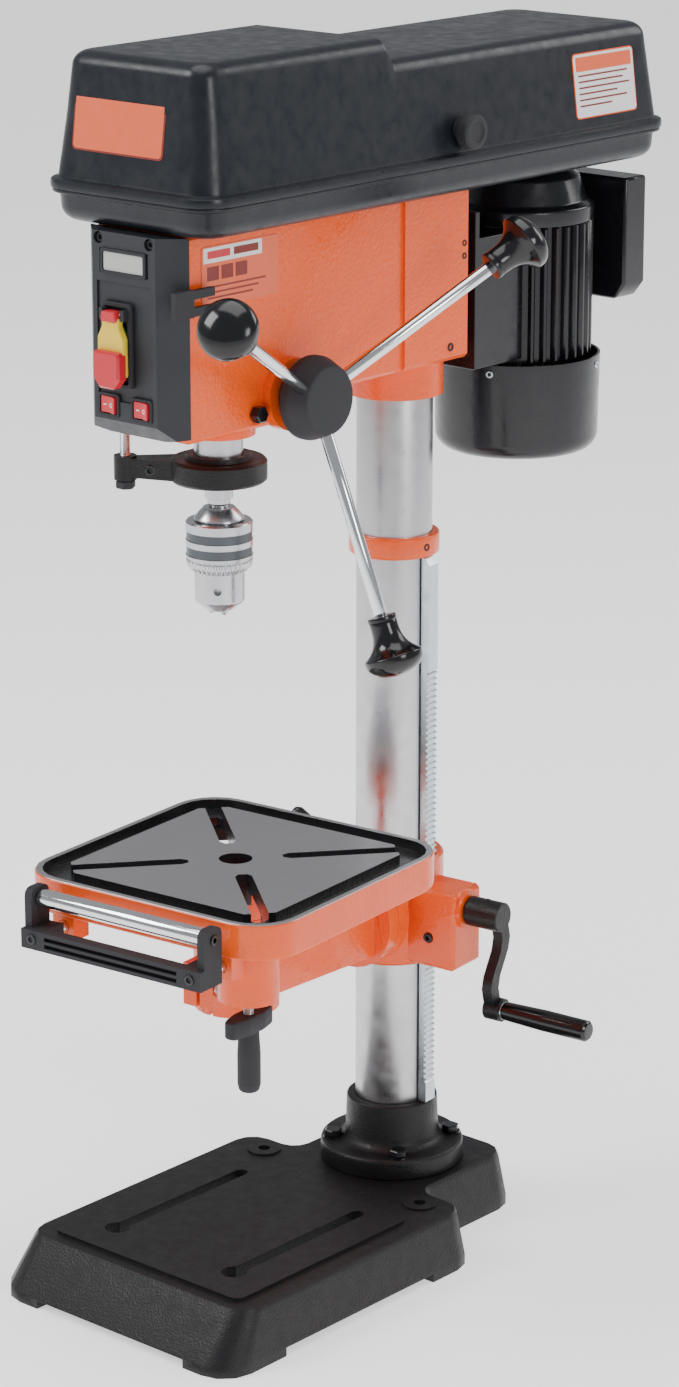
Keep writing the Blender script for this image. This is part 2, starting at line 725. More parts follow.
def make_chuck_body(parent, finish):
    under = SLEEVE_TOP - CHUCK_SLEEVE_HEIGHT
    neck = CHUCK_BODY_R - 3.2 * MM
    gap = 1.0 * MM
    profile = [(9.5 * MM, CHUCK_NOSE), (11.5 * MM, CHUCK_NOSE + 1 * MM),
               (CHUCK_BODY_R - 0.5 * MM, CHUCK_NOSE + 7 * MM),
               (CHUCK_BODY_R, CHUCK_NOSE + 9 * MM), (CHUCK_BODY_R, under - gap), (neck, under - gap),
               (neck, SLEEVE_TOP + gap), (CHUCK_BODY_R, SLEEVE_TOP + gap), (CHUCK_BODY_R - 0.6 * MM,
                                                                            SLEEVE_TOP + 3 * MM),
               (CHUCK_BODY_R - 4 * MM, SLEEVE_TOP + 7 * MM), (12 * MM, CHUCK_TOP)]
    at = Matrix.Translation((0, -THROAT, 0))
    body = link_mesh("chuck_body", turned(profile, at, 28), parent, finish)
    taper = turned([(6.2 * MM + SEAT_GAP, CHUCK_TOP - 20.3 * MM),
                    (7.6 * MM + SEAT_GAP, CHUCK_TOP + 2 * MM)], at, 20)
    cut(body, tool(taper, parent))
    cut(body, tool(disc(6.8 * MM, 0.5, CHUCK_TOP - 26 * MM, at=(0, -THROAT, 0), sides=16), parent))
    for k in range(3):
        hole = turned([(JAW_R + 0.5 * MM, -10 * MM), (JAW_R + 0.5 * MM, JAW_LENGTH + 8 * MM)],
                      jaw_matrix(k), 12)
        cut(body, tool(hole, parent))
        out = Matrix.Translation((0, -THROAT, 0)) @ Matrix.Rotation(radians(-52 + 120 * k), 4, "Z")
        key = out @ Matrix.Translation((0, 0, CHUCK_NOSE + 18 * MM)) @ Matrix.Rotation(pi / 2, 4, "Y")
        cut(body, tool(turned([(3.2 * MM, 12 * MM), (3.2 * MM, 30 * MM)], key, 10), parent))
    return body


def make_chuck_sleeve(parent, finish):
    low = SLEEVE_TOP - CHUCK_SLEEVE_HEIGHT
    bore = CHUCK_BODY_R - 3.2 * MM + RUN_GAP
    profile = [(bore + 5 * MM, low), (CHUCK_R - 2.5 * MM, low), (CHUCK_R, low + 2.5 * MM),
               (CHUCK_R, SLEEVE_TOP - 1 * MM), (CHUCK_R - 1 * MM, SLEEVE_TOP), (bore, SLEEVE_TOP),
               (bore, low + 12 * MM), (bore + 5 * MM, low + 10 * MM)]
    at = Matrix.Translation((0, -THROAT, 0))
    return link_mesh("chuck_sleeve", ring_solid(profile, at, 32), parent, finish)


def make_jaw(k, parent, finish):
    profile = [(JAW_R * 0.7, 0), (JAW_R, 3 * MM), (JAW_R, JAW_LENGTH)]
    return link_mesh(f"chuck_jaw_{k + 1}", turned(profile, jaw_matrix(k), 10), parent, finish)


# ---------------------------------------------------------------- quill feed
def rod_matrix(k, base_x):
    """Local Z runs outwards along feed rod k, from the hub's axis."""
    phi = ROD_PHASE - 2 * pi * k / 3
    along = Vector((sin(ROD_LEAN), cos(ROD_LEAN) * cos(phi), cos(ROD_LEAN) * sin(phi)))
    turn = along.to_track_quat("Z", "Y").to_matrix().to_4x4()
    return Matrix.Translation((base_x, feed_y(), FEED_Z)) @ turn


def make_feed(parent, steel, black, chrome):
    at = (0, feed_y(), FEED_Z)
    along = frame_along("X", at)
    reach = QUILL_R + 2 * MM
    thin = FEED_PITCH_R - 1.9 * MM
    tooth_half = 5.8 * MM
    end = HUB_FACE_X - 14 * MM
    shaft = turned([(FEED_SHAFT_R, -FEED_BOSS_X + SEAT_GAP), (FEED_SHAFT_R, -reach), (thin, -reach),
                    (thin, reach),
                    (FEED_SHAFT_R, reach), (FEED_SHAFT_R, end)], along, 20)
    feed_shaft = link_mesh("feed_pinion_shaft", shaft, parent, steel)
    teeth = gear_outline(FEED_TEETH, FEED_PITCH_R, 0.9 * MM, 1.4 * MM)
    join(feed_shaft, tool(prism(teeth, -tooth_half, tooth_half, "X", at), parent))
    inner = FEED_BOSS_X + 1.0 * MM
    hub = turned([(19 * MM, inner), (20 * MM, inner + MM), (20 * MM, inner + 9 * MM),
                  (HUB_R - 2 * MM, inner + 10 * MM),
                  (HUB_R, inner + 12 * MM), (HUB_R, HUB_FACE_X - 17 * MM), (HUB_FACE_R + 1 * MM,
                                                                            HUB_FACE_X - 1.5 * MM),
                  (HUB_FACE_R - 1 * MM, HUB_FACE_X)], along, 32)
    feed_hub = link_mesh("feed_hub", hub, parent, black)
    cut(feed_hub, tool(disc(FEED_SHAFT_R + SEAT_GAP, 40 * MM, end + SEAT_GAP, "X", at, 20), parent))
    base_x = HUB_FACE_X - 15 * MM
    sink = 18 * MM
    for k in range(3):
        place = rod_matrix(k, base_x)
        cut(feed_hub,
            tool(turned([(ROD_R + SEAT_GAP, sink), (ROD_R + SEAT_GAP, 60 * MM)], place, 12), parent))
        rod = [(ROD_R, sink + SEAT_GAP), (ROD_R, ROD_REACH + 10 * MM)]
        link_mesh(f"feed_rod_{k + 1}", turned(rod, place, 12), parent, chrome)
        make_feed_knob(k, place, parent, black)


def make_feed_knob(k, place, parent, finish):
    """A mushroom knob: a stepped collar, a waist and a domed cap."""
    z = ROD_REACH
    top = z + KNOB_LENGTH
    profile = [(11 * MM, z), (10.4 * MM, z + 12 * MM), (12 * MM, z + 20 * MM), (20.5 * MM, z + 27 * MM),
               (KNOB_R, z + 32 * MM), (KNOB_R - 1.5 * MM, z + 38 * MM), (14 * MM, top - 2.4 * MM), (0, top)]
    knob = link_mesh(f"feed_knob_{k + 1}", turned(profile, place, 16), parent, finish)
    bore = [(ROD_R + SEAT_GAP, z - MM), (ROD_R + SEAT_GAP, z + 10.4 * MM)]
    cut(knob, tool(turned(bore, place, 12), parent))


def make_spring_cap(finish):
    """The cup that holds the quill's return spring, on the left end of the feed shaft."""
    at = frame_along("X", (0, feed_y(), FEED_Z))
    inner = FEED_BOSS_X + SEAT_GAP
    profile = [(0, -inner - 17 * MM), (22 * MM, -inner - 17 * MM), (24.5 * MM, -inner - 15 * MM),
               (26 * MM, -inner - MM), (26 * MM, -inner)]
    return link_mesh("spring_cap", turned(profile, at, 28), None, finish)


# ---------------------------------------------------------------- belt cover
def cover_outline(inset, front=None, rear=None, steps=3):
    half = LIP_HALF - inset
    y0 = (LIP_FRONT if front is None else front) + inset
    y1 = (LIP_REAR if rear is None else rear) - inset
    return rounded_box((-half, half), (y0, y1), max(LIP_CORNER - inset * 0.6, 3 * MM), steps)


def cover_loft(levels, front=None, rear=None):
    return loft([[(x, y, z) for x, y in cover_outline(inset, front, rear)] for z, inset in levels])


def hinge_x():
    return -(LIP_HALF + HINGE_R + 0.4 * MM)


def hinge_knuckle(y0, y1, parent):
    z = LIP_BOTTOM - SEAT_GAP / 2
    return tool(disc(HINGE_R, y0, y1, "Y", (hinge_x(), 0, z), 12, 0.1), parent)


def make_pan(finish):
    low = HEAD_TOP + SEAT_GAP
    top = LIP_BOTTOM - SEAT_GAP
    outer = [(low, 16 * MM), (low + 2.5 * MM, 10.5 * MM), (low + 9 * MM, 7 * MM), (top - 3.5 * MM, 5 * MM),
             (top - 3.5 * MM, 1.5 * MM), (top, 1.2 * MM)]
    pan = link_mesh("belt_cover_pan", cover_loft(outer), None, finish)
    w = PAN_WALL
    inner = [(low + w, 17 * MM + w), (low + w + 2 * MM, 11 * MM + w), (low + 9 * MM, 7.3 * MM + w),
             (top + 5 * MM, 5 * MM + w)]
    cut(pan, tool(cover_loft(inner)))
    high = low + 15 * MM
    cut(pan, tool(disc(19 * MM, low - 5 * MM, high, at=(0, -THROAT, 0), sides=28)))
    slot = slot_outline((0, MOTOR_Y - MOTOR_SLIDE), (0, MOTOR_Y), 14 * MM)
    cut(pan, tool(prism(slot, low - 5 * MM, high)))
    cut(pan, tool(disc(11 * MM, low - 5 * MM, high, at=(0, IDLER_Y, 0), sides=20)))
    for y in (-150 * MM, 110 * MM):
        join(pan, hinge_knuckle(y, y + 18 * MM, None))
        x = hinge_x()
        join(pan, tool(block((x + 0.8 * MM, x + 9 * MM), (y + MM, y + 17 * MM),
                             (top - 3.2 * MM, top - 0.6 * MM))))
    return pan


def lid_inset(z):
    return 5 * MM + (z - LIP_TOP) * LID_DRAFT


def lid_levels(top, skin, shy=0.0):
    """Levels of a drafted shell with a rounded crown; skin and shy move it inwards."""
    crown = 9 * MM
    z = top - skin
    levels = []
    for share, pull in ((0.0, 0.0), (0.5, 0.13), (0.87, 0.5), (1.0, 1.0)):
        h = z - crown + crown * share
        levels.append((h, lid_inset(h) + skin + shy + crown * pull))
    return levels


def make_lid(parent, finish):
    lip = [(LIP_BOTTOM, 0.8 * MM), (LIP_BOTTOM + 1.5 * MM, 0), (LIP_TOP - 3 * MM, 0),
           (LIP_TOP - 0.8 * MM, 1.2 * MM),
           (LIP_TOP, 4 * MM)]
    outer = lip + [(LIP_TOP + 2 * MM, lid_inset(LIP_TOP + 2 * MM))] + lid_levels(LID_TOP_REAR, 0)
    lid = link_mesh("belt_cover_lid", cover_loft(outer), parent, finish)
    low = LID_TOP_REAR - 26 * MM
    rear_edge = LID_STEP_Y + lid_inset(LID_TOP_REAR)
    shy = 0.2 * MM
    nose = [(low, lid_inset(low) + shy)] + lid_levels(LID_TOP_FRONT, 0, shy)
    join(lid, tool(cover_loft(nose, rear=rear_edge), parent))
    w = LID_WALL
    hollow = [(LIP_BOTTOM - 5 * MM, 5 * MM + w), (LIP_TOP, 5 * MM + w)] + lid_levels(LID_TOP_REAR, w)
    cut(lid, tool(cover_loft(hollow), parent))
    nose_hollow = [(low - 4 * MM, lid_inset(low - 4 * MM) + w + shy)] + lid_levels(LID_TOP_FRONT, w, shy)
    cut(lid, tool(cover_loft(nose_hollow, rear=rear_edge), parent))
    for y in (-131.6 * MM, 128.4 * MM):
        join(lid, hinge_knuckle(y, y + 18 * MM, parent))
        x = hinge_x()
        z = (LIP_BOTTOM + 0.6 * MM, LIP_BOTTOM + 3.4 * MM)
        join(lid, tool(block((x + 0.8 * MM, x + 9 * MM), (y + MM, y + 17 * MM), z), parent))
    return join(lid, lid_knob(parent))


def lid_knob(parent):
    """The grip that the cover is lifted by, moulded with its right side."""
    z = 901 * MM
    x = LIP_HALF - lid_inset(z)
    lean = atan2(LID_DRAFT, 1.0)
    at = Matrix.Translation((x, -16 * MM, z)) @ Matrix.Rotation(-lean, 4, "Y") @ frame_along("X", (0, 0, 0))
    profile = [(9 * MM, -1.5 * MM), (9 * MM, 4 * MM), (13 * MM, 6 * MM), (13.4 * MM, 13 * MM),
               (12 * MM, 16 * MM),
               (0, 16.5 * MM)]
    return tool(turned(profile, at, 28), parent)


# ---------------------------------------------------------------- belt drive
def pulley_profile(steps, bore, hub_low=None):
    """A stepped pulley from the bottom up, as a closed loop with its bore."""
    levels = list(steps)[::-1]
    start = PULLEY_BASE if hub_low is None else hub_low
    out = [(bore, start)]
    if hub_low is not None:
        out += [(bore + 6 * MM, hub_low), (bore + 6 * MM, PULLEY_BASE)]
    edge = (PULLEY_STEP - GROOVE_W) / 2
    for k, r in enumerate(levels):
        z = PULLEY_BASE + k * PULLEY_STEP
        out += [(r, z), (r - GROOVE_DEPTH, z + edge), (r - GROOVE_DEPTH, z + PULLEY_STEP - edge),
                (r, z + PULLEY_STEP)]
    out.append((bore, PULLEY_BASE + len(levels) * PULLEY_STEP))
    return out


def make_pulley(name, y, steps, bore, parent, finish, hub_low=None, sides=16):
    at = Matrix.Translation((0, y, 0))
    return link_mesh(name, ring_solid(pulley_profile(steps, bore, hub_low), at, sides), parent, finish)


def make_belt(name, y0, r0, y1, r1, level, finish):
    """A flat-sided belt loop round two grooves at a level counted from the bottom."""
    seat = GROOVE_DEPTH - 1.0 * MM
    outer = belt_outline(y0, r0 - seat + BELT_T, y1, r1 - seat + BELT_T)
    inner = belt_outline(y0, r0 - seat, y1, r1 - seat)
    z = PULLEY_BASE + level * PULLEY_STEP + (PULLEY_STEP - BELT_W) / 2
    bm = bmesh.new()
    rows = []
    for outline, h in ((outer, z), (outer, z + BELT_W), (inner, z + BELT_W), (inner, z)):
        rows.append([bm.verts.new((x, y, h)) for x, y in outline])
    count = len(outer)
    for j in range(4):
        low, high = rows[j], rows[(j + 1) % 4]
        for k in range(count):
            n = (k + 1) % count
            bm.faces.new((low[k], low[n], high[n], high[k]))
    return link_mesh(name, bm, None, finish)


def make_idler_arm(finish):
    """A plate on the head's bridge, and the post that the idler turns on."""
    z = HEAD_TOP - 2 * MM + SEAT_GAP
    top = PULLEY_BASE + 4 * PULLEY_STEP + 3 * MM
    profile = [(9.5 * MM, z), (9.5 * MM, PULLEY_BASE - 1.2 * MM), (6 * MM, PULLEY_BASE - 1.2 * MM),
               (6 * MM, top - MM),
               (5 * MM, top)]
    return link_mesh("idler_post", turned(profile, Matrix.Translation((0, IDLER_Y, 0)), 20), None, finish)


# ---------------------------------------------------------------- motor
def make_motor_mount(parent, finish):
    """A channel that carries the motor, welded to two bars that slide in the head."""
    back = MOUNT_FRONT + 6 * MM
    z = (701 * MM, 826 * MM)
    half = 38 * MM
    mount = link_mesh("motor_mount", block((-half, half), (MOUNT_FRONT, back), z), parent, finish)
    core = MOTOR_R - MOTOR_FIN + 0.6 * MM + SEAT_GAP
    flange = MOTOR_Y - sqrt(core ** 2 - half ** 2) + 0.5 * MM
    for side in (-1, 1):
        x = sorted((side * half, side * (half - 5 * MM)))
        join(mount, tool(block(x, (back - MM, flange), (z[0], MOTOR_SHOULDER - MM)), parent))
        at = (side * BAR_X, 0, BAR_Z)
        join(mount, tool(disc(BAR_R, HEAD_REAR - 32 * MM, back - 2 * MM, "Y", at, 16), parent))
    round_motor = disc(core + 0.2 * MM, 0.6, 0.9, at=(0, MOTOR_Y, 0), sides=48)
    cut(mount, tool(round_motor, parent))
    return mount


def fin_outline():
    """The motor body's outline: narrow fins round a drum, none where the channel holds it."""
    out = []
    core = MOTOR_R - MOTOR_FIN
    step = 2 * pi / MOTOR_FINS
    for k in range(MOTOR_FINS):
        a = k * step
        facing = abs((a - 1.5 * pi + pi) % (2 * pi) - pi)
        tip = MOTOR_R - 0.4 * MM if facing > radians(44) else core + 0.6 * MM
        for share, r in ((-0.30, core), (-0.16, tip), (0.16, tip), (0.30, core)):
            out.append((r * cos(a + share * step), r * sin(a + share * step)))
    return out


def make_motor(parent, finish, steel):
    at = Matrix.Translation((0, MOTOR_Y, 0))
    fins = [[(x, y, z) for x, y in fin_outline()] for z in (MOTOR_SPLIT + SEAT_GAP,
                                                            MOTOR_SHOULDER - SEAT_GAP)]
    body = link_mesh("motor_body", loft(fins, at), parent, finish)
    centre = (0, MOTOR_Y, 0)
    cut(body, tool(disc(7 * MM + RUN_GAP, 0.6, 0.9, at=centre, sides=20), parent))
    bell = turned([(MOTOR_R, MOTOR_SHOULDER), (MOTOR_R, MOTOR_SHOULDER + 10 * MM),
                   (MOTOR_R - 5 * MM, MOTOR_SHOULDER + 14 * MM),
                   (MOTOR_R - 12 * MM, MOTOR_TOP - 8 * MM), (MOTOR_R - 20 * MM, MOTOR_TOP)], at, 32)
    end_bell = link_mesh("motor_end_bell", bell, parent, finish)
    cut(end_bell, tool(disc(7 * MM + RUN_GAP, 0.6, 0.9, at=centre, sides=20), parent))
    make_fan_cover(parent, finish, at)
    make_terminal_box(parent, finish)


def make_fan_cover(parent, finish, at):
    r = FAN_COVER_R
    top = MOTOR_SPLIT
    low = MOTOR_BOTTOM
    wall = 2.2 * MM
    profile = [(MOTOR_R - 14 * MM, low), (r - 12 * MM, low), (r - 2.5 * MM, low + 7 * MM),
               (r, low + 18 * MM), (r, top),
               (r - wall, top), (r - wall, low + 18 * MM), (r - wall - 2.5 * MM,
                                                            low + 8 * MM), (r - 13 * MM, low + wall),
               (MOTOR_R - 14 * MM, low + wall)]
    cover = link_mesh("motor_fan_cover", ring_solid(profile, at, 24), parent, finish)
    for k in range(2):
        a = pi * k / 2 + pi / 24
        d = Vector((cos(a), sin(a), 0))
        n = Vector((-d.y, d.x, 0)) * 1.6 * MM
        reach = MOTOR_R - 10 * MM
        c = Vector((0, MOTOR_Y, 0))
        bar = [c - d * reach - n, c + d * reach - n, c + d * reach + n, c - d * reach + n]
        join(cover, tool(prism([(p.x, p.y) for p in bar], low, low + wall), parent))
    for r0 in (22 * MM,):
        band = [(r0 - 1.6 * MM, low), (r0 + 1.6 * MM, low), (r0 + 1.6 * MM, low + wall),
                (r0 - 1.6 * MM, low + wall)]
        join(cover, tool(ring_solid(band, at, 14), parent))
    return cover


def make_terminal_box(parent, finish):
    x = (-42 * MM, 58 * MM)
    y0 = MOTOR_Y + MOTOR_R + 4 * MM
    y = (y0, y0 + 28 * MM)
    outline = [(x[0], 748 * MM), (x[0] + 10 * MM, 735 * MM), (x[1] - 10 * MM, 735 * MM), (x[1], 748 * MM),
               (x[1], 834 * MM), (x[0], 834 * MM)]
    box = prism([(px, -pz) for px, pz in outline], y[0], y[1], "Y")
    item = link_mesh("motor_terminal_box", box, parent, finish)
    bevelled(item, 2 * MM, 1)
    neck = block((-24 * MM, 24 * MM), (MOTOR_Y + MOTOR_R - 16 * MM, y0 + MM), (752 * MM, 800 * MM))
    join(item, tool(neck, parent))
    cut(item, tool(disc(MOTOR_R + SEAT_GAP, 0.6, 0.9, at=(0, MOTOR_Y, 0), sides=48), parent))
    return item


def make_rotor(parent, steel):
    """The motor's shaft with its fan, from the fan cover up through the pulley."""
    fan_z = MOTOR_SPLIT - 40 * MM
    top = PULLEY_BASE + 4 * PULLEY_STEP + 4 * MM
    r = 7 * MM
    profile = [(r, fan_z), (52 * MM, fan_z), (52 * MM, fan_z + 4 * MM), (10 * MM, fan_z + 7 * MM),
               (10 * MM, fan_z + 24 * MM), (r, fan_z + 24 * MM), (r, top)]
    at = Matrix.Translation((0, MOTOR_Y, 0))
    rotor = link_mesh("motor_rotor", turned(profile, at, 20), parent, steel)
    for k in range(4):
        a = pi / 2 * k + pi / 20
        d = Vector((cos(a), sin(a), 0))
        n = Vector((-d.y, d.x, 0)) * 1.2 * MM
        c = Vector((0, MOTOR_Y, 0))
        blade = [c + d * 8 * MM - n, c + d * 50 * MM - n, c + d * 50 * MM + n, c + d * 8 * MM + n]
        join(rotor, tool(prism([(p.x, p.y) for p in blade], fan_z + 2 * MM, fan_z + 20 * MM), parent))
    return rotor


# ---------------------------------------------------------------- switch housing
def housing_plan(skin=0.0):
    """The plan of the switch housing: a flat front with a slanted side each way."""
    f = HOUSING_FRONT + skin
    b = HEAD_FRONT - SEAT_GAP
    slant = skin * 0.7
    return [(-HOUSING_BACK_HALF + skin, b), (-HOUSING_HALF + slant, f), (HOUSING_HALF - slant, f),
            (HOUSING_BACK_HALF - skin, b)]


def make_housing(finish):
    low = HOUSING_BOTTOM
    top = HOUSING_TOP
    housing = link_mesh("switch_housing", prism(housing_plan(), low, top), None, finish)
    far = 80 * MM
    cham = 17 * MM
    for side in (-1, 1):
        tri = [(side * (HOUSING_HALF - 9 * MM), low - MM), (side * far, low - MM),
               (side * far, low + cham + 24 * MM),
               (side * HOUSING_BACK_HALF, low + 4 * MM)]
        wedge = prism([(x, -z) for x, z in tri], HOUSING_FRONT - 5 * MM, HEAD_FRONT + 5 * MM, "Y")
        cut(housing, tool(wedge))
    edge = HOUSING_CHAMFER
    foot = [(HOUSING_FRONT - MM, low - MM), (HOUSING_FRONT + edge + MM, low - MM),
            (HOUSING_FRONT - MM, low + edge + MM)]
    cut(housing, tool(side_prism(foot, -far, far)))
    panel = block((-27 * MM, 27 * MM), (HOUSING_FRONT - MM, HOUSING_FRONT + 1.5 * MM), (728 * MM, 815 * MM))
    cut(housing, tool(panel))
    bezel = block((-24 * MM, 24 * MM), (HOUSING_FRONT - MM, HOUSING_FRONT + 2.4 * MM), (821 * MM, 839 * MM))
    cut(housing, tool(bezel))
    for x in (-1, 1):
        cut(housing, tool(disc(4.5 * MM, HOUSING_FRONT - MM, HOUSING_FRONT + 5 * MM, "Y",
                               (x * 25.1 * MM, 0, 846 * MM), 16)))
        pocket = block((x * 16.4 * MM - 8.6 * MM, x * 16.4 * MM + 8.6 * MM),
                       (HOUSING_FRONT - MM, HOUSING_FRONT + 11 * MM),
                       (717.5 * MM, 731.5 * MM))
        cut(housing, tool(pocket))
    for side in (-1, 1):
        x = sorted((PADDLE_X + side * 8.8 * MM, PADDLE_X + side * 12.3 * MM))
        ear = block(x, (HOUSING_FRONT - 7.5 * MM, HOUSING_FRONT + 3 * MM),
                    (PADDLE_HINGE_Z - 4 * MM, PADDLE_HINGE_Z + 4 * MM))
        join(housing, tool(ear))
    pin = disc(2.2 * MM, -11 * MM, 11 * MM, "X", (PADDLE_X, HOUSING_FRONT - 5 * MM, PADDLE_HINGE_Z), 12)
    cut(housing, tool(pin))
    for z in START_Z, STOP_Z:
        cut(housing, tool(disc(BUTTON_R + RUN_GAP, HOUSING_FRONT - MM, HOUSING_FRONT + 12 * MM, "Y",
                               (PADDLE_X, 0, z), 20)))
    return housing


def make_display(finish):
    y = HOUSING_FRONT + 2.4 * MM - SEAT_GAP
    outline = rounded_box((-20 * MM, 20 * MM), (-837 * MM, -823 * MM), 1.5 * MM, 2)
    return link_mesh("display_window", prism(outline, y - 1.6 * MM, y, "Y"), None, finish)


def make_key_holder(finish):
    """A clip with two prongs that holds the chuck key, on the housing's slanted side."""
    z = 805 * MM
    plate = block((49.3 * MM, 54 * MM), (-303 * MM, -283.5 * MM), (z - 10 * MM, z + 10 * MM))
    item = link_mesh("key_holder", plate, None, finish)
    for side in (-1, 1):
        s = sorted((side * 3 * MM, side * 9.5 * MM))
        prong = block((50 * MM, 54 * MM), (-284.5 * MM, -262 * MM), (z + s[0], z + s[1]))
        join(item, tool(prong))
    return item


def make_paddle(parent, finish):
    """The lift-up safety cover over the start and stop buttons."""
    x = PADDLE_X
    y = HOUSING_FRONT - 3.2 * MM
    top = PADDLE_HINGE_Z
    low = PADDLE_BOTTOM
    side = PADDLE_HALF
    neck = PADDLE_NECK
    shoulder = PADDLE_SHOULDER
    outline = [(x - side, low + 6 * MM), (x - side + 6 * MM, low), (x + side - 6 * MM, low),
               (x + side, low + 6 * MM),
               (x + side, shoulder - 6 * MM), (x + neck, shoulder), (x + neck, top + 3 * MM),
               (x - neck, top + 3 * MM), (x - neck, shoulder), (x - side, shoulder - 6 * MM)]
    plate = prism([(px, -pz) for px, pz in outline], y - 5 * MM, y, "Y")
    item = link_mesh("safety_paddle", plate, parent, finish)
    wide = side - 0.5 * MM
    pad = [(x - wide, low + 3 * MM), (x + wide, low + 3 * MM), (x + wide, low + 27.5 * MM),
           (x - wide, low + 27.5 * MM)]
    join(item, tool(prism([(px, -pz) for px, pz in pad], y - 12 * MM, y - 4 * MM, "Y"), parent))
    at = (x, HOUSING_FRONT - 5 * MM, top)
    join(item, tool(disc(1.8 * MM, -10.5 * MM, 10.5 * MM, "X", at, 12), parent))
    return item


def make_rocker(name, x, parent, finish):
    """A rocker that turns about an upright axis, resting with its off end pressed."""
    tilt = Matrix.Translation((x, HOUSING_FRONT + 1.5 * MM, 724.5 * MM)) @ Matrix.Rotation(radians(-8), 4,
                                                                                           "Z")
    half_z = 6.2 * MM
    plan = [(-7.4 * MM, -3.4 * MM), (0, -1.9 * MM), (7.4 * MM, -3.4 * MM), (7.0 * MM, 2.2 * MM),
            (-7.0 * MM, 2.2 * MM)]
    rings = [[(px, py, z) for px, py in plan] for z in (-half_z, half_z)]
    return link_mesh(name, loft(rings, tilt), parent, finish)


def make_button(name, z, parent, finish):
    at = frame_along("Y", (PADDLE_X, 0, z))
    front = HOUSING_FRONT + 0.2 * MM
    profile = [(BUTTON_R - MM, front), (BUTTON_R, front + 0.8 * MM), (BUTTON_R, front + 8 * MM)]
    return link_mesh(name, turned(profile, at, 20), parent, finish)


# ---------------------------------------------------------------- table
def make_rack(parent, finish, low):
    tip = COLUMN_R + 0.5 * MM + RACK_DEPTH
    base = COLUMN_R + 0.5 * MM
    pitch = LIFT_PITCH
    first = LIFT_FIRST
    root = tip - 2.0 * MM
    top = COLLAR_BOTTOM - 0.5 * MM
    outline = [(base, low + 0.5 * MM), (tip, low + 0.5 * MM), (tip, first - 0.7 * pitch)]
    for k in range(RACK_TEETH):
        z = first + k * pitch
        outline += [(root, z - 0.27 * pitch), (tip, z - 0.11 * pitch), (tip, z + 0.11 * pitch),
                    (root, z + 0.27 * pitch)]
    end = first + RACK_TEETH * pitch - 0.3 * pitch
    outline += [(tip, end), (tip, top - 6 * MM), (base + 2.5 * MM, top), (base, top)]
    # the outline is (x, z): drawn along Y
    bar = prism([(x, -z) for x, z in outline], -RACK_WIDTH / 2, RACK_WIDTH / 2, "Y")
    return link_mesh("rack", bar, parent, finish)




def make_bracket(parent, finish):
    """The sleeve that rides on the column, with its gearbox and the tilt face."""
    sleeve = disc(BRACKET_R, BRACKET_BOTTOM, BRACKET_TOP, sides=32)
    bracket = link_mesh("table_bracket", sleeve, parent, finish)
    bevelled(bracket, 2 * MM, 1)
    box = tool(block((20 * MM, BOX_X), (BOX_FRONT, BOX_BACK), (BOX_BOTTOM, BOX_TOP)), parent)
    bevelled(box, 3 * MM, 1)
    join(bracket, box)
    join(bracket,
         tool(disc(15 * MM, BOX_X - 4 * MM, BOX_X + 4 * MM, "X", (0, CRANK_Y, CRANK_Z), 28), parent))
    face = disc(TILT_R, TILT_Y, TILT_Y + 14 * MM, "Y", (0, 0, TILT_Z), 32)
    join(bracket, tool(face, parent))
    cheeks = block((-26 * MM, 26 * MM), (TILT_Y + 4 * MM, -10 * MM), (TILT_Z - 30 * MM, TILT_Z + 30 * MM))
    join(bracket, tool(cheeks, parent))
    ear = block((-70 * MM, -36 * MM), (4 * MM, 30 * MM), (252 * MM, 284 * MM))
    join(bracket, tool(ear, parent))
    cut(bracket, tool(disc(COLUMN_R + RUN_GAP, 0.1, 0.5, sides=40), parent))
    make_bracket_cuts(bracket, parent)
    return bracket


def make_bracket_cuts(bracket, parent):
    slide = RACK_WIDTH / 2 + RUN_GAP
    tip = COLUMN_R + 0.5 * MM + RACK_DEPTH + RUN_GAP
    cut(bracket, tool(block((0, tip), (-slide, slide), (0.1, 0.5)), parent))
    gear_r = LIFT_PITCH_R + 2.2 * MM
    face = 7.5 * MM
    cut(bracket, tool(disc(gear_r, -face, face, "Y", (LIFT_X, 0, LIFT_Z), 20), parent))
    cut(bracket, tool(disc(4 * MM + RUN_GAP, -60 * MM, 60 * MM, "Y", (LIFT_X, 0, LIFT_Z), 14), parent))
    worm = WORM_R + 1.0 * MM
    at = (0, CRANK_Y, CRANK_Z)
    cut(bracket, tool(disc(worm, LIFT_X - 14 * MM, LIFT_X + 14 * MM, "X", at, 20), parent))
    cut(bracket, tool(disc(6 * MM + RUN_GAP, LIFT_X, 0.12, "X", at, 20), parent))
    slit = block((-0.1, -COLUMN_R + 2 * MM), (15.5 * MM, 18.5 * MM), (0.2, 0.35))
    cut(bracket, tool(slit, parent))
    cut(bracket, tool(disc(5 * MM, -60 * MM, 60 * MM, "Y", (-56 * MM, 0, 268 * MM), 16), parent))


def make_lift_gear(parent, finish):
    at = (LIFT_X, 0, LIFT_Z)
    teeth = gear_outline(LIFT_TEETH, LIFT_PITCH_R, 0.8 * MM, 1.4 * MM, pi)
    gear = link_mesh("lift_gear", prism(teeth, -6.8 * MM, 6.8 * MM, "Y", at), parent, finish)
    shaft = disc(4 * MM, BOX_FRONT + 0.6 * MM, BOX_BACK - MM, "Y", (LIFT_X, 0, LIFT_Z), 16)
    join(gear, tool(shaft, parent))
    return gear


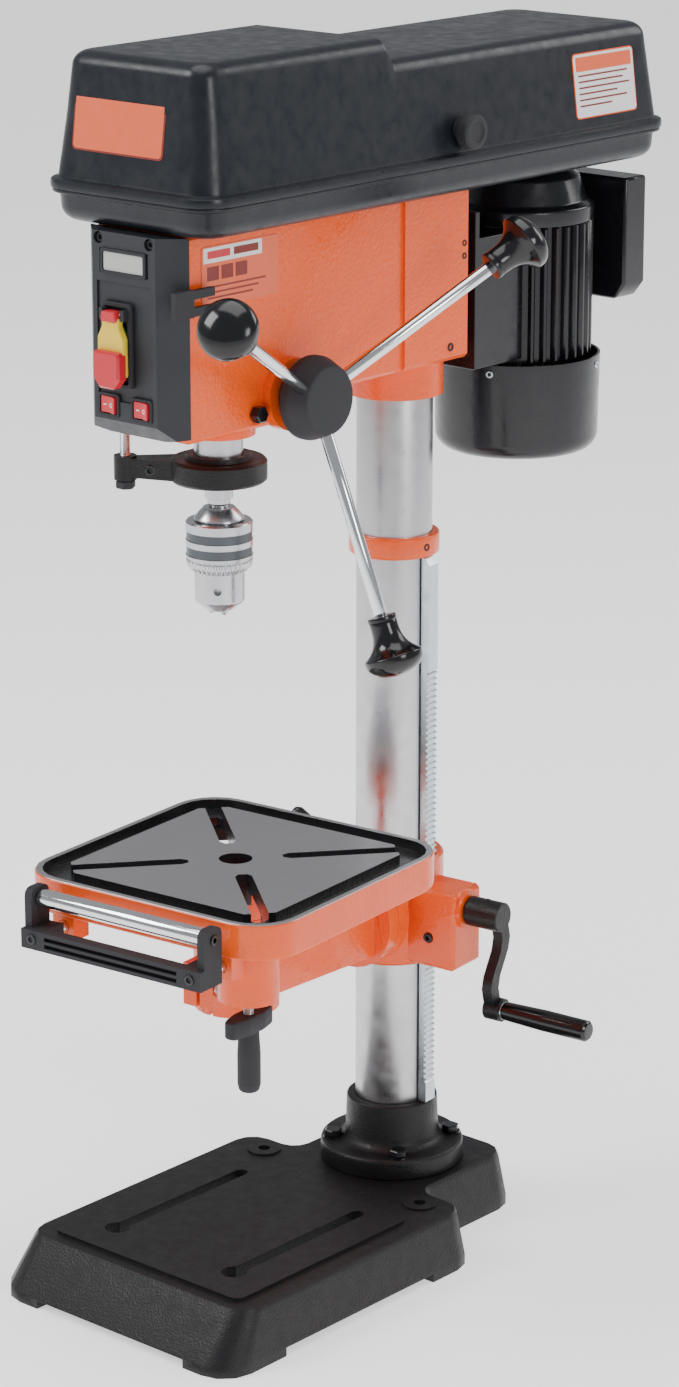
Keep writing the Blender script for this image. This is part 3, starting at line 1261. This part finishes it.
def make_crank(parent, grip_parent, steel, black):
    at = (0, CRANK_Y, CRANK_Z)
    along = frame_along("X", at)
    half = 12.5 * MM
    end = CRANK_FACE - 6 * MM
    profile = [(WORM_R, LIFT_X - half), (WORM_R, LIFT_X + half), (6 * MM, LIFT_X + half), (6 * MM, end)]
    link_mesh("worm_shaft", turned(profile, along, 20), parent, steel)
    hub = turned([(11 * MM, BOX_X + 5 * MM), (12 * MM, BOX_X + 6 * MM), (12 * MM, CRANK_FACE - MM),
                  (11 * MM, CRANK_FACE)], along, 28)
    arm = link_mesh("crank_arm", hub, parent, black)
    drop = CRANK_THROW
    spine = []
    for s in range(9):
        t = s / 8
        spine.append((8 * MM * sin(2 * pi * t), -drop * t))
    left = [(y - 5.5 * MM, z) for y, z in spine]
    right = [(y + 5.5 * MM, z) for y, z in spine[::-1]]
    web = prism(left + right, CRANK_FACE - 11 * MM, CRANK_FACE - 2 * MM, "X", at)
    join(arm, tool(web, parent))
    foot = (0, CRANK_Y, CRANK_Z - drop)
    join(arm, tool(disc(9.5 * MM, CRANK_FACE - 13 * MM, CRANK_FACE + MM, "X", foot, 24), parent))
    join(arm, tool(disc(4 * MM, CRANK_FACE, CRANK_FACE + GRIP_LENGTH - 4 * MM, "X", foot, 16), parent))
    cut(arm, tool(disc(6 * MM + SEAT_GAP, 0.05, end + SEAT_GAP, "X", at, 24), parent))
    start = CRANK_FACE + 1.4 * MM
    stop = start + GRIP_LENGTH
    grip = [(GRIP_R - MM, start), (GRIP_R, start + MM), (GRIP_R, stop - 2 * MM), (GRIP_R - 2 * MM, stop)]
    handle = link_mesh("crank_grip", turned(grip, frame_along("X", foot), 24), grip_parent, black)
    cut(handle,
        tool(disc(4 * MM + RUN_GAP, 0.09, start + GRIP_LENGTH - 4.6 * MM, "X", foot, 16), grip_parent))


def make_bracket_lock(parent, steel):
    """The lever that pinches the sleeve's slit on the column."""
    x, z = -56 * MM, 268 * MM
    stem = disc(4.6 * MM, 2 * MM, 38 * MM, "Y", (x, 0, z), 16)
    lever = link_mesh("bracket_lock", stem, parent, steel)
    join(lever, tool(disc(9 * MM, 31 * MM, 46 * MM, "Y", (x, 0, z), 20), parent))
    place = Matrix.Translation((x, 39 * MM, z)) @ Matrix.Rotation(radians(-60), 4, "Y")
    join(lever, tool(turned([(3.5 * MM, 0), (3.5 * MM, 50 * MM)], place, 12), parent))
    join(lever, tool(turned([(5 * MM, 46 * MM), (6.5 * MM, 50 * MM), (6.5 * MM, 78 * MM),
                             (4 * MM, 82 * MM)], place, 16), parent))
    return lever


def make_table_arm(parent, finish):
    """From the tilt face out to the split hub that clamps the table's spigot."""
    y0 = TILT_Y - SEAT_GAP
    at = (0, 0, TILT_Z)
    arm = link_mesh("table_arm", disc(TILT_R, y0 - TILT_THICK, y0, "Y", at, 32), parent, finish)
    under = [(TILT_Y - 6 * MM, 242 * MM), (TABLE_Y, 252 * MM), (TABLE_Y, 306 * MM),
             (TILT_Y - 6 * MM, 302 * MM)]
    join(arm, tool(side_prism(under, -24 * MM, 24 * MM), parent))
    hub_low = 244 * MM
    hub_top = CLAMP_TOP
    join(arm, tool(disc(CLAMP_HUB_R, hub_low, hub_top, at=(0, TABLE_Y, 0), sides=28), parent))
    ears = block((-14 * MM, 14 * MM), (TABLE_Y - CLAMP_HUB_R - 16 * MM, TABLE_Y - CLAMP_HUB_R + 6 * MM),
                 (256 * MM, 290 * MM))
    join(arm, tool(ears, parent))
    cut(arm, tool(disc(SPIGOT_R + RUN_GAP, 0.2, 0.4, at=(0, TABLE_Y, 0), sides=24), parent))
    cut(arm, tool(block((-1.5 * MM, 1.5 * MM), (TABLE_Y - 80 * MM, TABLE_Y - SPIGOT_R + 2 * MM),
                        (0.2, 0.4)), parent))
    return arm


def table_outline(half, corner, steps=5):
    return [(x, y + TABLE_Y) for x, y in rounded_box((-half, half), (-half, half), corner, steps)]


def make_table(parent, finish):
    low = TABLE_Z - TABLE_SKIRT
    rings = [(low, 1.2 * MM), (low + 2 * MM, 0), (TABLE_Z - 1.2 * MM, 0), (TABLE_Z, 1.0 * MM)]
    solid = loft([[(x, y, z) for x, y in table_outline(TABLE_HALF - g, TABLE_CORNER - g)] for z,
                  g in rings])
    table = link_mesh("table_top", solid, parent, finish)
    floor = TABLE_Z - TROUGH_DEPTH
    trough = prism(table_outline(TABLE_HALF - RIM_W - MM, TABLE_CORNER - RIM_W), floor, TABLE_Z + 5 * MM)
    cut(table, tool(trough, parent))
    chamfer = LAND_CHAMFER
    h = LAND_HALF
    land = [(-h + chamfer, -h), (h - chamfer, -h), (h, -h + chamfer), (h, h - chamfer), (h - chamfer, h),
            (-h + chamfer, h), (-h, h - chamfer), (-h, -h + chamfer)]
    join(table, tool(prism([(x, y + TABLE_Y) for x, y in land], floor - MM, TABLE_Z), parent))
    wall = 7 * MM
    under = prism(table_outline(TABLE_HALF - wall, TABLE_CORNER - wall, 3), low - 5 * MM, floor - 8 * MM)
    cut(table, tool(under, parent))
    axis = (0, TABLE_Y, 0)
    plate = floor - 8 * MM
    join(table, tool(disc(CLAMP_HUB_R, CLAMP_TOP + SEAT_GAP, plate + MM, at=axis, sides=28), parent))
    join(table, tool(disc(SPIGOT_R, 246 * MM, CLAMP_TOP + MM, at=axis, sides=24), parent))
    make_table_lugs(table, parent, low, plate)
    cut(table, tool(disc(TABLE_HOLE_R, 0.2, 0.4, at=axis, sides=20), parent))
    for k in range(4):
        a = radians(45 + 90 * k)
        near = (TABLE_SLOT_START * cos(a), TABLE_Y + TABLE_SLOT_START * sin(a))
        far = (TABLE_SLOT_END * cos(a), TABLE_Y + TABLE_SLOT_END * sin(a))
        end = (TABLE_SLOT_RUNOUT * cos(a), TABLE_Y + TABLE_SLOT_RUNOUT * sin(a))
        cut(table, tool(prism(slot_outline(near, far, TABLE_SLOT_W / 2), plate - 30 * MM, TABLE_Z + 5 * MM),
                        parent))
        cut(table,
            tool(prism(slot_outline(far, end, TABLE_SLOT_W / 2, 3), floor, TABLE_Z + 5 * MM), parent))
    return table


def make_table_lugs(table, parent, low, plate):
    """The bored lugs that guide the roller's rods, and the boss of their lock."""
    for side in (-1, 1):
        x = (side * GUIDE_X - 10 * MM, side * GUIDE_X + 10 * MM)
        front = TABLE_Y - TABLE_HALF
        for y0 in (front + 1.5 * MM, front + 62 * MM):
            lug = block(x, (y0, y0 + 18 * MM), (GUIDE_Z - 10 * MM, plate + MM))
            join(table, tool(lug, parent))
    join(table, tool(disc(LOCK_BOSS_R, 290 * MM, plate + MM, at=(LOCK_X, LOCK_Y, 0), sides=28), parent))
    for side in (-1, 1):
        at = (side * GUIDE_X, 0, GUIDE_Z)
        cut(table, tool(disc(GUIDE_R + RUN_GAP, -0.36, -0.2, "Y", at, 16), parent))
    cut(table, tool(disc(4 * MM + RUN_GAP, 0.2, GUIDE_Z, at=(LOCK_X, LOCK_Y, 0), sides=16), parent))


def make_roller_frame(parent, finish, steel):
    """Two end plates and a ribbed bar between them; the guide rods screw into it."""
    low = 319 * MM
    top = 364 * MM
    y0 = ROLLER_Y - 16 * MM
    back = ROLLER_Y + 10 * MM
    outer = FRAME_HALF
    frame = link_mesh("roller_frame", block((-outer, outer), (y0, back), (low, low + 15 * MM)), parent,
                      finish)
    for side in (-1, 1):
        plate = rounded([(y0 + 5 * MM, low), (back, low), (back, top), (y0 + 5 * MM, top)],
                        [4 * MM, 4 * MM, 6 * MM, 6 * MM], 3)
        x = sorted((side * outer, side * (outer - FRAME_THICK)))
        join(frame, tool(side_prism(plate, *x), parent))
    for k in range(2):
        z = low + 3 * MM + 5.5 * MM * k
        cut(frame, tool(block((-62 * MM, 62 * MM), (y0 - MM, y0 + 4 * MM), (z, z + 3.2 * MM)), parent))
    slot = block((-64 * MM, 64 * MM), (y0 + 10 * MM, back + MM), (low - MM, low + 30 * MM))
    cut(frame, tool(slot, parent))
    axle = ROLLER_HALF + 0.6 * MM
    for side in (-1, 1):
        at = (side * GUIDE_X, 0, GUIDE_Z)
        cut(frame, tool(disc(GUIDE_R + SEAT_GAP, back - 8 * MM, back + MM, "Y", at, 14), parent))
    cut(frame, tool(disc(3 * MM + RUN_GAP, -0.2, 0.2, "X", (0, ROLLER_Y, ROLLER_Z), 16), parent))
    for side, name in ((-1, "left"), (1, "right")):
        at = (side * GUIDE_X, 0, GUIDE_Z)
        start = back - 8 * MM + SEAT_GAP
        rod = disc(GUIDE_R, start, start + GUIDE_LENGTH, "Y", at, 14)
        link_mesh(f"guide_rod_{name}", rod, parent, steel)


def make_roller(parent, finish):
    at = frame_along("X", (0, ROLLER_Y, ROLLER_Z))
    axle = FRAME_HALF - MM
    half = ROLLER_HALF
    profile = [(3 * MM, -axle), (3 * MM, -half), (ROLLER_R - 0.6 * MM, -half), (ROLLER_R, -half + 0.6 * MM),
               (ROLLER_R, half - 0.6 * MM), (ROLLER_R - 0.6 * MM, half), (3 * MM, half), (3 * MM, axle)]
    return link_mesh("support_roller", turned(profile, at, 20), parent, finish)


def make_roller_lock(parent, finish):
    """A stud that pinches the right guide rod, with a winged head and an upright grip."""
    at = (LOCK_X, LOCK_Y, 0)
    top = GUIDE_Z - GUIDE_R - SEAT_GAP
    lock = link_mesh("roller_lock", disc(4 * MM, 268 * MM, top, at=at, sides=16), parent, finish)
    join(lock, tool(disc(9 * MM, 262 * MM, 277 * MM, at=at, sides=20), parent))
    wing = block((LOCK_X - 6 * MM, LOCK_X + 6 * MM), (LOCK_Y - 25 * MM, LOCK_Y + 25 * MM),
                 (265 * MM, 277 * MM))
    join(lock, tool(wing, parent))
    z = 216 * MM
    grip = [(7 * MM, z), (8.6 * MM, z + 4 * MM), (8.6 * MM, z + 30 * MM), (8.2 * MM, 263 * MM)]
    join(lock, tool(turned(grip, Matrix.Translation(at), 20), parent))
    return lock


# ---------------------------------------------------------------- assembly
def build():
    clear_scene()
    orange = finish_of("hammered_orange_paint", (0.83, 0.17, 0.02), 0.42)
    iron = finish_of("black_cast_iron_paint", (0.02, 0.021, 0.024), 0.5)
    black = finish_of("black_plastic", (0.016, 0.017, 0.02), 0.4)
    cover = finish_of("black_cover_plastic", (0.018, 0.021, 0.027), 0.38)
    grey = finish_of("grey_plastic", (0.045, 0.048, 0.055), 0.5)
    steel = finish_of("ground_steel", (0.62, 0.62, 0.64), 0.3, 1.0)
    chrome = finish_of("chrome", (0.8, 0.8, 0.82), 0.12, 1.0)
    zinc = finish_of("zinc_plate", (0.6, 0.66, 0.68), 0.35, 1.0)
    alloy = finish_of("cast_alloy", (0.5, 0.5, 0.52), 0.45, 1.0)
    rubber = finish_of("belt_rubber", (0.02, 0.02, 0.02), 0.8)
    red = finish_of("red_plastic", (0.6, 0.02, 0.03), 0.4)
    green = finish_of("green_plastic", (0.02, 0.35, 0.08), 0.4)
    glass = finish_of("display_glass", (0.75, 0.77, 0.74), 0.2)

    make_base(iron)
    sleeve_top = make_flange(iron)
    make_column(steel)
    make_rack_collar(orange)
    make_head(orange)
    make_spring_cap(black)
    make_housing(grey)
    make_display(glass)
    make_key_holder(black)
    make_pan(cover)
    make_idler_arm(steel)

    spindle_at = (0, -THROAT, 0)
    lid_axis = axis_empty("lid_axis", (hinge_x(), 0, LIP_BOTTOM - SEAT_GAP / 2))
    make_lid(lid_axis, cover)

    feed_axis = axis_empty("feed_axis", (0, feed_y(), FEED_Z))
    make_feed(feed_axis, steel, black, chrome)
    quill_axis = axis_empty("quill_axis", spindle_at)
    make_quill(quill_axis, steel)
    make_depth_collar(quill_axis, iron)
    make_depth_rod(quill_axis, zinc, black)
    spindle_axis = axis_empty("spindle_axis", spindle_at, quill_axis)
    make_spindle(spindle_axis, steel)
    make_chuck_body(spindle_axis, steel)
    sleeve_axis = axis_empty("chuck_sleeve_axis", spindle_at, spindle_axis)
    make_chuck_sleeve(sleeve_axis, steel)
    for k in range(3):
        tip = jaw_matrix(k).translation
        make_jaw(k, axis_empty(f"jaw_axis_{k + 1}", tip, spindle_axis), steel)

    motor_slide = axis_empty("motor_slide_axis", (0, MOTOR_Y, 0))
    make_motor_mount(motor_slide, iron)
    make_motor(motor_slide, iron, steel)
    motor_axis = axis_empty("motor_axis", (0, MOTOR_Y, 0), motor_slide)
    make_rotor(motor_axis, steel)
    make_pulley("motor_pulley", MOTOR_Y, MOTOR_STEPS, 7 * MM + SEAT_GAP, motor_axis, alloy)
    idler_axis = axis_empty("idler_axis", (0, IDLER_Y, 0))
    make_pulley("idler_pulley", IDLER_Y, IDLER_STEPS, 6 * MM + RUN_GAP, idler_axis, alloy)
    pulley_axis = axis_empty("spindle_pulley_axis", spindle_at)
    drive_low = HEAD_TOP - 40 * MM
    make_pulley("spindle_pulley", -THROAT, SPINDLE_STEPS, SPINDLE_R + RUN_GAP, pulley_axis, alloy,
                drive_low)
    make_belt("drive_belt_front", -THROAT, SPINDLE_STEPS[0], IDLER_Y, IDLER_STEPS[0], 3, rubber)
    make_belt("drive_belt_rear", IDLER_Y, IDLER_STEPS[3], MOTOR_Y, MOTOR_STEPS[3], 0, rubber)

    paddle_axis = axis_empty("paddle_axis", (PADDLE_X, HOUSING_FRONT - 5 * MM, PADDLE_HINGE_Z))
    make_paddle(paddle_axis, red)
    for name, x in (("rocker_left", -16.4 * MM), ("rocker_right", 16.4 * MM)):
        make_rocker(name, x, axis_empty(name + "_axis", (x, HOUSING_FRONT + 1.5 * MM, 724.5 * MM)), red)
    make_button("start_button", START_Z, axis_empty("start_axis", (PADDLE_X, HOUSING_FRONT, START_Z)),
                green)
    make_button("stop_button", STOP_Z, axis_empty("stop_axis", (PADDLE_X, HOUSING_FRONT, STOP_Z)), red)

    swing = axis_empty("table_swing_axis", (0, 0, 0), None, TABLE_SWING)
    make_rack(swing, zinc, sleeve_top)
    lift = axis_empty("table_lift_axis", (0, 0, 0), swing)
    make_bracket(lift, orange)
    make_lift_gear(axis_empty("lift_gear_axis", (LIFT_X, 0, LIFT_Z), lift), steel)
    crank = axis_empty("crank_axis", (CRANK_FACE, CRANK_Y, CRANK_Z), lift)
    grip = axis_empty("crank_grip_axis", (CRANK_FACE, CRANK_Y, CRANK_Z - CRANK_THROW), crank)
    make_crank(crank, grip, steel, black)
    make_bracket_lock(axis_empty("bracket_lock_axis", (-56 * MM, 39 * MM, 268 * MM), lift), black)
    tilt = axis_empty("table_tilt_axis", (0, TILT_Y, TILT_Z), lift)
    make_table_arm(tilt, orange)
    turn = axis_empty("table_turn_axis", (0, TABLE_Y, TABLE_Z), tilt)
    make_table(turn, orange)
    roller_slide = axis_empty("roller_slide_axis", (0, ROLLER_Y, GUIDE_Z), turn)
    make_roller_frame(roller_slide, black, chrome)
    make_roller(axis_empty("roller_axis", (0, ROLLER_Y, ROLLER_Z), roller_slide), steel)
    make_roller_lock(axis_empty("roller_lock_axis", (LOCK_X, LOCK_Y, 262 * MM), turn), black)


build()
